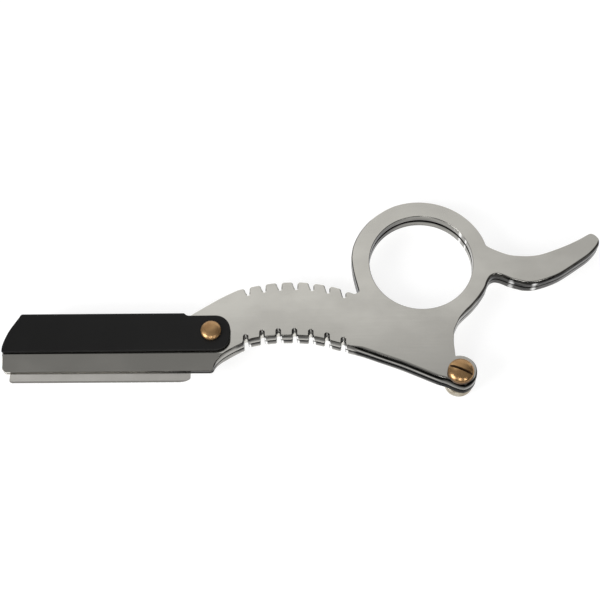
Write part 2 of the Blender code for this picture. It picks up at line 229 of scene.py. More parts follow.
def noiseOn(tree, scale, detail, stretch=(1, 1, 1), turn=0.0):
    # a noise pattern on the piece's own coordinates, stretched and turned about Z; scale is in features per metre
    place = put(tree, "TexCoord", {}, "Object")
    place = put(tree, "Mapping", {"Vector": place, "Scale": stretch, "Rotation": (0, 0, math.radians(turn))})
    return put(tree, "TexNoise", {"Vector": place, "Scale": scale, "Detail": detail, "Roughness": 0.5}, "Fac")


def spread(tree, source, low, high, fromLow=0.35, fromHigh=0.65):
    # the source, from fromLow to fromHigh, mapped onto low to high
    return put(tree, "MapRange", {"Value": source, "From Min": fromLow, "From Max": fromHigh,
                                  "To Min": low, "To Max": high})


def mixed(tree, share, first, second):
    # first where share is 0 and second where it is 1; each is a colour or an output
    first, second = ((*value, 1) if isinstance(value, tuple) else value for value in (first, second))
    return put(tree, "Mix", {0: share, 6: first, 7: second}, 2, data_type="RGBA")


def marked(tree, label):
    return put(tree, "Attribute", {}, "Fac", attribute_name=label)


def reckoned(tree, operation, first, second):
    return put(tree, "Math", {0: first, 1: second}, operation=operation)


def bumped(tree, height, distance, under=None, strength=1.0):
    # a height of 0 to 1 as a relief of the given distance in metres
    inputs = {"Height": height, "Distance": distance, "Strength": strength}
    return put(tree, "Bump", inputs if under is None else {**inputs, "Normal": under})


steelLook = dict(
    light=(0.665, 0.649, 0.6), worn=(0.63, 0.614, 0.567), paintedEdgeShade=(0.005, 0.0048, 0.0045), glint=(0.96, 0.96, 0.95),
    roughness=(0.09, 0.17), edgeShadeDull=0.12, lineDepth=0.0000018, waveDepth=0.00003, rimDepth=0.00001,
    # the noise on the edge's marks of painted shade, and the marks over which the edge darkens with painted shade,
    # takes a painted highlight and loses its shine
    edgeShadeNoise=(-0.14, 0.14, 0.3, 0.7), edgeShadeOver=(0, 0.9), glintOver=(0.25, 0.6), grazing=0.5, grazingOver=(1.0, 1.6),
)


def makeSteel(look):
    # hand-polished steel: smudges, fine lines along the plates, slow waves, and edges darkened with painted shade and
    # dark reflections, with painted highlights as bright spots
    made, tree = newFinish("polishedSteel", look["light"])
    dark = marked(tree, "dark")
    smudge = noiseOn(tree, 90, 4, (1, 1.6, 1))
    face = mixed(tree, spread(tree, smudge, 0, 1), look["light"], look["worn"])
    rough = spread(tree, noiseOn(tree, 1700, 3, (0.12, 0.12, 1)), *look["edgeShadeNoise"])
    # painted shade and painted dark reflection on the edges, by the dark mark
    paintedEdgeShade = reckoned(tree, "ADD", dark, reckoned(tree, "MULTIPLY", rough, dark))
    edge = mixed(tree, spread(tree, paintedEdgeShade, 0, 1, *look["edgeShadeOver"]), face, look["paintedEdgeShade"])
    # a painted highlight where the glint mark is
    bright = spread(tree, reckoned(tree, "ADD", marked(tree, "glint"), rough), 0, 1, *look["glintOver"])
    polish = spread(tree, smudge, *look["roughness"])
    dull = reckoned(tree, "ADD", polish, reckoned(tree, "MULTIPLY", dark, look["edgeShadeDull"]))
    lines = bumped(tree, noiseOn(tree, 2600, 2, (0.035, 1, 1), 4), look["lineDepth"])
    waves = bumped(tree, noiseOn(tree, 45, 1), look["waveDepth"], lines)
    rims = bumped(tree, noiseOn(tree, 620, 3, (1, 1, 0.5)), look["rimDepth"], waves, marked(tree, "rim"))
    tint = spread(tree, dark, 1.0, look["grazing"], *look["grazingOver"])
    return shaded(made, 1.0, mixed(tree, bright, edge, look["glint"]), dull, rims, **{"Specular Tint": tint})


bladeLook = dict(light=(0.575, 0.56, 0.525), dark=(0.54, 0.525, 0.49), roughness=(0.16, 0.26), lineDepth=0.0000012)


def makeBladeSteel(look):
    # rolled strip: fine lines along the edge and faint smudges
    made, tree = newFinish("bladeSteel", look["light"])
    smudge = noiseOn(tree, 160, 4)
    colour = mixed(tree, spread(tree, smudge, 0, 1), look["light"], look["dark"])
    lines = bumped(tree, noiseOn(tree, 3000, 2, (0.02, 1, 1)), look["lineDepth"])
    return shaded(made, 1.0, colour, spread(tree, smudge, *look["roughness"]), lines)


# along is the paint's change from dark to light, between two places along X in metres
paintLook = dict(dark=(0.0045, 0.0044, 0.0043), light=(0.0085, 0.0084, 0.0082), specular=0.2, peel=0.000004,
                 roughness=(0.38, 0.48), cloud=(0, 0.3), along=(-0.15, 0.85, -0.108, -0.055))


def makePaint(look):
    # satin black paint with a fine peel, a little duller in patches and lighter towards the neck
    made, tree = newFinish("blackSatinPaint", look["dark"])
    cloud = noiseOn(tree, 140, 4)
    place = put(tree, "SeparateXYZ", {"Vector": put(tree, "TexCoord", {}, "Object")}, "X")
    patch = reckoned(tree, "ADD", spread(tree, place, *look["along"]), spread(tree, cloud, *look["cloud"]))
    peel = bumped(tree, noiseOn(tree, 2200, 2), look["peel"])
    return shaded(made, 0.0, mixed(tree, patch, look["dark"], look["light"]),
                  spread(tree, cloud, *look["roughness"]), peel, **{"Specular IOR Level": look["specular"]})


brassLook = dict(light=(0.47, 0.29, 0.135), dark=(0.35, 0.2, 0.09), paintedShade=(0.085, 0.05, 0.03), waveDepth=0.00005,
                 roughness=(0.2, 0.32), fineDepth=0.000004, paintedShadeDull=0.3)
nutLook = dict(brassLook, light=(0.5, 0.46, 0.38), dark=(0.33, 0.28, 0.2), paintedShade=(0.05, 0.04, 0.03),
               waveDepth=0.00003, roughness=(0.32, 0.48))
rivetLook = dict(brassLook, roughness=(0.3, 0.42), waveDepth=0.00008)


def makeBrass(name, look):
    # turned brass that was buffed by hand: slow waves, fine grain, and painted shade, dull and dark brown, in the
    # screw's slot and round its head
    made, tree = newFinish(name, look["light"])
    paintedShade = marked(tree, "paintedShade")
    cloud = noiseOn(tree, 420, 4)
    worn = mixed(tree, spread(tree, cloud, 0, 1), look["light"], look["dark"])
    rough = spread(tree, cloud, *look["roughness"])
    rough = reckoned(tree, "ADD", rough, reckoned(tree, "MULTIPLY", paintedShade, look["paintedShadeDull"]))
    fine = bumped(tree, noiseOn(tree, 2400, 2), look["fineDepth"])
    waves = bumped(tree, noiseOn(tree, 380, 1), look["waveDepth"], fine)
    return shaded(made, 0.85, mixed(tree, paintedShade, worn, look["paintedShade"]), rough, waves)


steel = makeSteel(steelLook)
bladeSteel = makeBladeSteel(bladeLook)
blackPaint = makePaint(paintLook)
brass = makeBrass("brass", brassLook)
nutBrass = makeBrass("dullBrass", nutLook)
rivetBrass = makeBrass("handledBrass", rivetLook)
print("finishes made")


# The two plates.

plates = dict(
    holderReach=108.1, holderHeight=12.75, lipDrop=1.37, lipReach=57.8, lipCorner=1.1, lipEndCorner=1.0,
    lipThickness=0.65, bevelHeight=3.9, bevelEnd=-50, noseDepth=4.0, crownHeight=22.45, shoulderReach=65.2,
    shoulderCorner=0.5, bore=25.1, boreCentre=(-8.15, 28.94), ringDiameter=33.8, ringShift=(-0.25, -0.32),
    ringSpan=(19, 165), tangReach=35.4, tangHeight=36.26, lobeRadius=3.98, lobeCentre=(-0.08, 0.3),
    lobeSpan=(-78, 103), notches=7, notchPitch=3.855, notchMiddle=-38.82,
    # each row of notches: width, depth, the tooth's corner, the shift along X, and how much less wide the floor is
    lowerNotch=(0.92, 1.9, 0.45, 0.05, 0.0), backNotch=(1.0, 2.05, 0.68, 0.13, 0.42),
    # the edges' roundings: the drop that goes with each width, the widths, and where each takes over
    widths=(0.16, 0.42, 0.6, 1.0), drops=(0.16, 0.85, 1.0, 1.25), rounding=0.42, backRounding=0.16, neckRounding=0.36,
    notchRounding=0.25, lipRounding=0.06, footRounding=0.14, boreRounding=0.16, boreGap=0.42, holeRounding=0.12,
    rearShare=0.5, neckFrom=(-14, -18), noseFrom=(-106, -107.5), backFrom=(-0.1, 0.4), lipFrom=(0.35, 0.85),
    hollowFrom=((-3.2, -2.4), (3.6, 4.4), (16, 13)),
    # painted highlights: x, y, reach and strength; those of the teeth lie cornerPlace past each notch's middle
    cornerGlint=0.3, cornerPlace=0.91, glintShift=0.3, glints=((13.7, 24.5, 0.95, 0.75), (18.9, 23.1, 0.9, 0.5)),
    boreGlints=((0.2, 37.8, 0.4, 0.6), (1.6, 36.5, 0.6, 0.7), (3.0, 34.7, 0.4, 0.6)), holeDark=0.8, rearOnset=50,
    # the rivet's and the studs' holes in the front plate and notches in the rear one, which all lie left of pinEnd
    hingeHole=1.96, rearHingeHole=1.98, pinHoles=(1.26, 0.96, 0.96), pinNotches=(1.5, 1.2, 1.2), pinCorner=0.7,
    pinEnd=-30,
)
rivetAt = (-58.5, 10.42)
studsAt = ((-95.3, 9.97), (-74.3, 9.97))

# Shares of the sizes above: along lipReach and up crownHeight, from the lip to the hinge.
undersideShares = (
    (-0.9995, 0.045), (-0.99, 0.085), (-0.97, 0.138), (-0.945, 0.185), (-0.916, 0.23), (-0.887, 0.27),
    (-0.846, 0.325), (-0.776, 0.355), (-0.71, 0.363), (-0.642, 0.358), (-0.576, 0.338), (-0.506, 0.284),
    (-0.403, 0.203), (-0.322, 0.125), (-0.24, 0.045), (-0.16, -0.045), (-0.099, -0.115), (-0.059, -0.15),
    (-0.028, -0.188), (-0.005, -0.212),
)
# Along tangReach and up tangHeight: the stem, and the tang's underside, tip and top.
tangShares = (
    (-0.03, 0.142), (-0.034, 0.212), (-0.032, 0.248), (-0.027, 0.297), (-0.006, 0.346), (0.017, 0.385),
    (0.052, 0.421), (0.092, 0.458), (0.127, 0.496), (0.164, 0.543), (0.202, 0.602), (0.22, 0.647),
    (0.242, 0.681), (0.271, 0.695), (0.302, 0.692), (0.335, 0.679), (0.373, 0.661), (0.432, 0.643),
    (0.466, 0.634), (0.517, 0.632), (0.569, 0.641), (0.638, 0.663), (0.709, 0.694), (0.78, 0.738),
    (0.85, 0.786), (0.915, 0.832), (0.953, 0.867), (0.987, 0.907), (1, 0.935), (0.993, 0.964),
    (0.972, 0.989), (0.946, 1), (0.918, 0.99), (0.867, 0.96), (0.795, 0.924), (0.725, 0.894),
    (0.654, 0.867), (0.584, 0.845), (0.516, 0.836), (0.446, 0.837), (0.379, 0.845), (0.312, 0.869),
    (0.246, 0.901), (0.219, 0.922),
)
# From the ring's foot to the shoulder, and up crownHeight: the neck's back.
backShares = (
    (0.021, 0.857), (0.048, 0.875), (0.073, 0.891), (0.136, 0.938), (0.233, 0.978), (0.325, 1),
    (0.418, 1.001), (0.511, 0.987), (0.609, 0.953), (0.663, 0.929), (0.697, 0.912), (0.741, 0.873),
    (0.799, 0.815), (0.855, 0.751), (0.91, 0.686), (0.956, 0.63), (0.989, 0.577),
)
# Along and up the ring's radius: its left side, down to the neck.
footShares = (
    (-0.985, 0.13), (-0.98, 0.02), (-0.964, -0.105), (-0.94, -0.226), (-0.914, -0.335), (-0.892, -0.448),
)
# The left end: along noseDepth and up holderHeight.
noseShares = ((1.0, 0.985), (0.775, 0.865), (0.525, 0.725), (0.325, 0.56), (0.15, 0.42), (0.0, 0.315))
creaseY = plates["lipDrop"] + plates["bevelHeight"]
bevelSlope = (stack["plate"] - plates["lipThickness"]) / plates["bevelHeight"]


def shared(shares, width, height, base=(0.0, 0.0)):
    return np.array(shares) * (width, height) + base


def toothSide(edge, wall, side, inward, corner):
    # a quarter circle from the edge round to the notch's wall
    lip = wall + side * corner
    foot = np.interp(lip, edge[:, 0], edge[:, 1]) + inward * corner
    return ellipsePoints((lip, foot), (-side * corner, -inward * corner), 90, 0, 9)


def notched(edge, inward, width, depth, corner, shift, lean):
    # the edge, listed along X, with a round-bottomed notch at each pitch; its left wall leans in by lean
    p = plates
    half = width / 2
    floorHalf = half - lean / 2
    for i in range(p["notches"]):
        x = p["notchMiddle"] + p["notchPitch"] * (i - (p["notches"] - 1) / 2) + shift
        floorY = np.interp(x, edge[:, 0], edge[:, 1]) + inward * (depth - floorHalf)
        floor = ellipsePoints((x + lean / 2, floorY), (floorHalf, inward * floorHalf), 180, 0, 21)
        left, right = (toothSide(edge, x + side * half, side, inward, corner) for side in (-1, 1))
        walls = [linePoints(left[-1], floor[0], 0.2), linePoints(floor[-1], right[-1], 0.2)]
        cut = np.r_[left, walls[0], floor, walls[1], right[::-1]]
        edge = np.r_[edge[edge[:, 0] < cut[0, 0]], cut, edge[edge[:, 0] > cut[-1, 0]]]
    return edge


def plateOutline():
    # anticlockwise from the left end of the crease, round the lip, the neck, the lobe, the tang and the ring
    p = plates
    left, top = -p["holderReach"], p["lipDrop"] + p["holderHeight"]
    corner, end = p["lipCorner"], p["lipEndCorner"]
    lipLeft = arcPoints((left + corner, p["lipDrop"] + corner), corner, 180, 270)
    lipRight = arcPoints((-p["lipReach"] - end, p["lipDrop"] + end), end, 270, 350)
    ringAt = np.array(p["boreCentre"]) + p["ringShift"]
    ringRadius = p["ringDiameter"] / 2
    ring = arcPoints(ringAt, ringRadius, *p["ringSpan"])
    foot = shared(footShares, ringRadius, ringRadius, ringAt)
    lobe = arcPoints(p["lobeCentre"], p["lobeRadius"], *p["lobeSpan"])
    under = shared(undersideShares, p["lipReach"], p["crownHeight"], (0, p["lipDrop"]))
    tang = shared(tangShares, p["tangReach"], p["tangHeight"])
    back = shared(backShares, -foot[-1, 0] - p["shoulderReach"], p["crownHeight"], (foot[-1, 0], p["lipDrop"]))
    nose = shared(noseShares, p["noseDepth"], p["holderHeight"], (left, p["lipDrop"]))
    start, shoulder = (left, creaseY), (-p["shoulderReach"], top)
    underEdge = notched(throughKnots(under, lipRight[-1], lobe[0]), 1, *p["lowerNotch"])
    backEdge = notched(throughKnots(back, foot[-1], shoulder)[::-1], -1, *p["backNotch"])[::-1]
    outline = joined(
        linePoints(start, lipLeft[0]), lipLeft, linePoints(lipLeft[-1], lipRight[0]), lipRight, underEdge, lobe,
        throughKnots(tang, lobe[-1], ring[0]), ring, throughKnots(foot, ring[-1], back[0]), backEdge,
        linePoints(backEdge[-1], shoulder), linePoints(shoulder, (nose[0, 0] + p["noseDepth"] / 8, top)),
        throughKnots(nose, (nose[0, 0] + p["noseDepth"], top), lipLeft[0]), linePoints(nose[-1], start),
    )
    return softCorner(startingAt(outline, start), shoulder, p["shoulderCorner"])


def swingNotch(outline, at, half):
    # the path of a pin about the hinge: the outline runs in along one arc, round the pin and out along the other
    reach = math.hypot(*at)
    start = math.degrees(math.atan2(at[1], at[0]))
    away = np.hypot(outline[:, 0], outline[:, 1])
    back = (outline[:, 1] > at[1] + half) & (outline[:, 0] < plates["pinEnd"])
    first = int(np.where(back & (away > reach - half))[0][0])
    last = int(np.where(back & (away < reach + half))[0][-1])
    ends = [outline[first] * (reach - half) / away[first], outline[last] * (reach + half) / away[last]]
    turns = [math.degrees(math.atan2(end[1], end[0])) for end in ends]
    inner = arcPoints((0, 0), reach - half, turns[0], start)
    outer = arcPoints((0, 0), reach + half, start, turns[1])
    outline = joined(outline[:first], inner, arcPoints(at, half, start, start + 180)[::-1], outer, outline[last + 1:])
    for end in ends:
        outline = softCorner(outline, end, plates["pinCorner"])
    return outline


def plateHeight(points):
    # the face, or the bevel's slope below the crease: face - slope (creaseY - y)
    low = faceHigh - bevelSlope * (creaseY - points[..., 1])
    return np.where((points[..., 1] < creaseY) & (points[..., 0] < plates["bevelEnd"]), low, faceHigh)


def plateUp(points):
    # the unit normal of the face, or of the bevel
    beveled = (points[..., 1] < creaseY - 0.01) & (points[..., 0] < plates["bevelEnd"])
    tilt = np.where(beveled, bevelSlope, 0.0)
    return unit(np.stack([0 * tilt, -tilt, 1 + 0 * tilt], axis=-1))


def carriedRim(loop, top, foot, marks, start, steps=10):
    # Down from each point of a loop go a quarter ellipse, a wall and a quarter ellipse; top and foot are their widths
    # and heights. With a from 0 to 90 degrees the inset is width (1 - sin a), the drop height (1 - cos a), and the
    # normal cos a * width up and sin a * height out. The painted shade and dark reflection is line * r + (wall -
    # line) * s on the upper one, where r rises over 30 degrees from onset and s from there to 90, and gap * r + (low
    # - gap) * s on the lower one, where r rises to 20 and s from 60. The row that the face shares stays bright.
    onset, line, wall, low, gap, glint = marks
    out = outOf(loop)
    a = np.linspace(0, math.pi / 2, steps + 1)[:, None]
    rows, normals, darks = [], [], []
    for shape, turn, upper in ((top, a, True), (foot, a[::-1], False)):
        width, height = (np.broadcast_to(part, len(loop)) for part in shape)
        flat = loop[None] - (width * (1 - np.sin(turn)))[..., None] * out[None]
        drop = height * (1 - np.cos(turn))
        rise = plateHeight(flat) - drop if upper else faceLow + drop
        rows.append(np.dstack([flat, rise]))
        facing = plateUp(flat) if upper else np.array((0.0, 0.0, -1.0))
        side = np.dstack([np.broadcast_to(out, flat.shape), 0 * drop])
        normals.append((np.cos(turn) * width)[..., None] * facing + (np.sin(turn) * height)[..., None] * side)
        degrees = np.degrees(turn)
        if upper:
            dark = line * ramp(degrees, onset, onset + 30) + (wall - line) * ramp(degrees, onset + 30, 90)
            dark = dark * (degrees > 0)
        else:
            dark = gap * ramp(degrees, 0, 20) + (low - gap) * ramp(degrees, 60, 90)
        darks.append(np.broadcast_to(dark, drop.shape))
    normals = np.concatenate(normals).reshape(-1, 3)
    faces = gridFaces(2 * steps + 2, len(loop))
    rim = np.r_[np.sin(a), np.sin(a[::-1])] * np.ones(len(loop))
    marks = np.stack([rim, np.concatenate(darks), glint * rim**4]).reshape(3, -1)
    return np.concatenate(rows).reshape(-1, 3), (start + faces, normals[faces]), marks


def evened(values, reach):
    # the running mean of values round a closed loop, over reach points each way
    return sum(np.roll(values, i, axis=-1) for i in range(-reach, reach + 1)) / (2 * reach + 1)


def near(x, y, places):
    # the most at each place and 0 far from it: the largest of most exp(-(distance / reach)^2)
    px, py, reach, most = np.array(places).T[..., None]
    return (most * np.exp(-((x - px) ** 2 + (y - py) ** 2) / reach**2)).max(axis=0)


def underAt(x):
    under = shared(undersideShares, plates["lipReach"], plates["crownHeight"], (0, plates["lipDrop"]))
    return np.interp(x, under[:, 0], under[:, 1])


def within(outline, x=(-far, far), y=(-far, far), rise=(-far, far), outX=(-2, 2), outY=(-2, 2)):
    # whether each point lies between the bounds: rise is its height over the lower edge, outX and outY its normal
    values = (*outline.T, outline[:, 1] - underAt(outline[:, 0]), *outOf(outline).T)
    return np.all([(value > low) & (value < high) for value, (low, high) in zip(values, (x, y, rise, outX, outY))],
                  axis=0)


# The regions of the edge, by their bounds; a later one goes over an earlier one.
notchedSpan = tuple(plates["notchMiddle"] + side * plates["notchPitch"] * plates["notches"] / 2 for side in (-1, 1))
inNotch = dict(x=notchedSpan, rise=(0.45, 2.5))
below = dict(y=(-far, 10), outY=(-2, 0.3))
wideRoundings = (
    (0.6, dict(x=(-24, far), y=(10, far))), (1.0, dict(below, x=(-24.2, 3))), (0.3, dict(x=(-far, -19), y=(18, far))),
)
# How dark the painted shade and dark reflection on each region's edge is: where the rounding's darkness begins in
# degrees, its first line, the wall's upper and lower ends, and the gap's side; then the rear plate's wall, from the
# gap down, and its gap side. Over 1 the metal's shine at a low angle goes as well.
plainMarks = (0, 0.7, 0.8, 0.8, 1.0, 0.8, 0.8, 1.0)
edgeMarks = dict(
    back=((0, 0.0, 0.5, 0.8, 1.0, 0.8, 0.8, 1.0), dict(outY=(0.3, 2))),
    straight=((20, 1.2, 0.35, 1.4, 1.0, 1.6, 0.5, 1.3), dict(below, x=(-24.4, -5))),
    teeth=((-15, 0.8, 0.8, 0.2, 0.1, 1.0, 0.35, 1.0), dict(below, x=(-52.4, -24.4))),
    notch=((0, 0.75, 0.3, 0.95, 1.0, 0.0, 0.0, 0.0), inNotch),
    flank=((0, 0.95, 0.93, 0.93, 1.0, 0.93, 0.9, 1.0), dict(x=notchedSpan, rise=(-far, 2.5), outX=(-2, -0.45))),
    curve=((-21, 0.85, 0.45, 0.4, 1.0, 0.6, 0.5, 1.0), dict(below, x=(-60, -52.4))),
    tang=((0, 0.85, 0.88, 0.86, 0.9, 0.86, 0.8, 0.9), dict(x=(5, far), outY=(-2, 0.3))),
    hollow=((0,) * 8, dict(x=(-3, 5), y=(4, 10))),
    stem=((0, 0.85, 0.65, 0.65, 0.95, 0.65, 0.65, 0.95), dict(x=(-3, 5), y=(10, 21))),
    left=((0, 0.9, 0.9, 0.9, 0.9, 0.9, 0.9, 0.9), dict(x=(-far, -20), y=(18, far), outX=(-2, -0.3))),
    lobe=((0, 1.0, 0.7, 0.65, 1.0, 1.5, 1.3, 1.0), dict(x=(-5, far), y=(-far, 3))),
    upper=((0, 0.0, 0.2, 0.2, 0.5, 0.2, 0.2, 0.4), dict(x=(-far, -26), y=(15, far))),
    upperRight=((0, 0.35, 0.65, 0.65, 0.9, 0.65, 0.65, 0.8), dict(x=(-far, -26), y=(15, far), outX=(0.35, 2))),
)
# The lip's painted shade is taken by a level that grows along X; its line has a level of its own.
lip = dict(marks=(0, 1, 1, 0.8, 1, 1, 0.6, 1), onset=-21, at=(-100, -82, -74, -64), level=(0.0, 0.15, 0.55, 0.95),
           lineAt=(-103, -100), line=(0, 0.9), bounds=dict(x=(-far, -57), y=(-far, 3), outX=(-0.7, 2)))
# The painted shade on the finger bore's edge, by the turn about its centre in degrees: dark at the upper left.
boreTurns = (-180, -60, 20, 60, 100, 125, 150, 170, 180)
boreLevels = (0.8, 0.5, 0.46, 0.54, 0.58, 0.72, 0.9, 0.88, 0.8)


def edgeShape(outline):
    # the width and height of the rounding at each point, by region
    p = plates
    x, y = outline.T
    width = np.full(len(x), p["rounding"])
    for size, bounds in wideRoundings:
        width[within(outline, **bounds)] = size
    back = toward(p["backRounding"], p["neckRounding"], ramp(x, *p["neckFrom"]))
    width = toward(evened(width, 5), back, ramp(outOf(outline)[:, 1], *p["backFrom"]))
    hollow = np.prod([ramp(value, *ends) for value, ends in zip((x, y, y), p["hollowFrom"])], axis=0)
    for size, share in ((p["backRounding"], hollow), (p["backRounding"], ramp(x, *p["noseFrom"])),
                        (p["notchRounding"], within(outline, **inNotch))):
        width = toward(width, size, share)
    height = np.interp(width, p["widths"], p["drops"])
    # where the bevel leaves little metal, the rounding shrinks to the lip's
    share = ramp((plateHeight(outline) - faceLow) / stack["plate"], *p["lipFrom"])
    return toward(p["lipRounding"], width, share), toward(p["lipRounding"], height, share)


def edgeDark(outline, flipped):
    # the painted shade of every point of the outline for carriedRim, with its painted highlights
    p = plates
    x, y = outline.T
    marks = np.array(plainMarks)[:, None] * np.ones(len(x))
    for values, bounds in edgeMarks.values():
        marks[:, within(outline, **bounds)] = np.array(values)[:, None]
    found = within(outline, **lip["bounds"])
    marks[:, found] = np.array(lip["marks"])[:, None] * np.interp(x[found], lip["at"], lip["level"])
    marks[0, found] = lip["onset"]
    marks[1, found] = np.interp(x[found], lip["lineAt"], lip["line"])
    marks[0] = evened(marks[0], 8)
    onset, line, wall, low, gap, rearWall, rearLow, rearGap = evened(marks, 2)
    if flipped:
        onset, line, wall, low, gap = p["rearOnset"], rearLow, rearLow, rearWall, rearGap
    first = p["notchMiddle"] - p["notchPitch"] * (p["notches"] - 1) / 2
    corners = first + p["notchPitch"] * np.arange(p["notches"]) + p["cornerPlace"]
    corners = corners - (0 if flipped else p["glintShift"])
    places = [(at, underAt(at) + 0.05, p["cornerGlint"], 1.0) for at in corners] + list(p["glints"])
    return onset, line, wall, low, gap, near(x, y, places)


def plateShell(outline, holes, flipped=False):
    # the rims of the outline and of the holes, closed by a face above and one below; the bevel is a face of its own
    width, height = edgeShape(outline)
    crease = risesPast(outline - width[:, None] * outOf(outline), creaseY)
    share = plates["rearShare"] if flipped else 1
    edge = outline, (width * share, height * share), (plates["footRounding"],) * 2, edgeDark(outline, flipped)
    points, blocks, found, rings, feet, start = [], [], [], [], [], 0
    for rim in (edge, *holes):
        grid, block, marks = carriedRim(*rim, start)
        rings.append(np.arange(len(rim[0])) + start)
        feet.append(rings[-1] + len(grid) - len(rim[0]))
        points.append(grid)
        blocks.append(block)
        found.append(marks)
        start += len(grid)
    points = np.concatenate(points)
    points[rings[0][[0, crease]], 1:] = creaseY, faceHigh
    bevel, face = rings[0][:crease + 1], np.r_[rings[0][crease:], rings[0][0]]
    for borders, normal in (([bevel], (0, -bevelSlope, 1)), ([face] + rings[1:], (0, 0, 1)), (feet, (0, 0, -1))):
        blocks.append(capped(points, borders, normal))
    if flipped:
        points[:, 2] = 2 * stack["middle"] - points[:, 2]
        blocks = [(faces[:, ::-1], normals[:, ::-1] * (1, 1, -1)) for faces, normals in blocks]
    return points, blocks, dict(zip(("rim", "dark", "glint"), np.concatenate(found, axis=1)))


def hole(centre, radius, step=0.2):
    return arcPoints(centre, radius, 360, 0, step)[:-1]


def makePlates():
    p = plates
    outline = plateOutline()
    ring = hole(p["boreCentre"], p["bore"] / 2)
    x, y = (ring - p["boreCentre"]).T
    # painted shade round the bore by its turn, and painted highlights at boreGlints
    boreShade = np.interp(np.degrees(np.arctan2(y, x)), boreTurns, boreLevels)
    shine = near(*ring.T, p["boreGlints"])
    bore = ring, (p["boreRounding"],) * 2, (p["boreGap"],) * 2, (0, boreShade, boreShade, boreShade, 1.0, shine)
    # the walls of the small holes take painted shade of holeDark
    small, dim = (p["holeRounding"],) * 2, (0, *(p["holeDark"],) * 4, 0)
    pins = list(zip((rivetAt, *studsAt), p["pinHoles"], p["pinNotches"]))
    holes = [(hole(at, radius, 0.1), small, small, dim) for at, radius, _ in pins]
    hinge, rearHinge = ((hole((0, 0), p[name]), small, small, dim) for name in ("hingeHole", "rearHingeHole"))
    addPiece("frontPlate", "front_plate", "front_half", "polished_steel", steel,
             *plateShell(outline, [bore, hinge, *holes]))
    for at, _, half in pins:
        outline = swingNotch(outline, at, half)
    addPiece("rearPlate", "rear_plate", "rear_half", "polished_steel", steel,
             *plateShell(outline, [bore, rearHinge], flipped=True))


makePlates()


# The lock channel.

channel = dict(
    half=3.55, sheet=0.9, bend=0.5, top=15.32, low=5.25, left=-108.08, nose=3.95, noseFrom=12, nosePoints=40,
    height=10.07, spineEnd=-65.1, stepCorner=0.25, earEnd=4.5, earCorner=3.7, earLift=0.18, lift=(0.22, 0.45),
    liftFade=4, holeRadius=1.28, holeRounding=0.1, rounding=0.24, corner=0.3, spineColumns=40, spineRows=15,
)
# Along nose and up height: the channel's left end.
channelNoseShares = ((1.0, 1.0), (0.57, 0.72), (0.31, 0.535), (0.12, 0.335), (0.015, 0.155), (0.0, 0.0))


def channelWall():
    # the free border of the front wall, anticlockwise from the top of the nose to the end of the spine
    c = channel
    nose = shared(channelNoseShares, c["nose"], c["height"], (c["left"], c["low"]))
    curve = throughKnots(nose, 2 * nose[0] - nose[1], (c["left"], c["low"] - c["nose"]))
    bendY, earTop = c["top"] - c["bend"], c["top"] - c["sheet"] + c["earLift"]
    curve = curve[curve[:, 1] < bendY - 0.03]
    start = (np.interp(bendY, curve[::-1][:, 1], curve[::-1][:, 0]), bendY)
    right, radius = rivetAt[0] + c["earEnd"], c["earCorner"]
    lowArc = arcPoints((right - radius, c["low"] + radius), radius, 270, 360)
    highArc = arcPoints((right - radius, earTop - radius), radius, 0, 90)
    corner, step = (c["left"], c["low"]), (c["spineEnd"] + c["sheet"], earTop)
    path = joined([start], curve, linePoints(corner, lowArc[0]), lowArc, linePoints(lowArc[-1], highArc[0]), highArc,
                  linePoints(highArc[-1], step), linePoints(step, (c["spineEnd"] + c["bend"], bendY), 0.15))
    path = softCorner(softCorner(path, corner, c["corner"]), step, c["stepCorner"])
    # the lower edge is lifted, more towards the right, and the lift fades out up the wall
    lift = np.interp(path[:, 0], (c["left"], right), c["lift"])
    path[:, 1] += lift * ramp(path[:, 1], c["low"] + c["liftFade"], c["low"])
    return path


def channelSection():
    # across the spine from the front bend to the rear one: points (y, z) and their normals
    c = channel
    flat, rows = c["half"] - c["bend"], c["spineRows"]
    turn = ellipsePoints((0, 0), 1, 90, 0, 9)
    front = (c["top"] - c["bend"], flat) + c["bend"] * turn
    middle = np.c_[np.full(rows, c["top"]), np.linspace(flat, -flat, rows + 2)[1:-1]]
    normals = np.r_[turn, np.tile((1.0, 0.0), (rows, 1)), turn[::-1] * (1, -1)]
    return np.r_[front, middle, front[::-1] * (1, -1)], np.c_[np.zeros(len(normals)), normals]


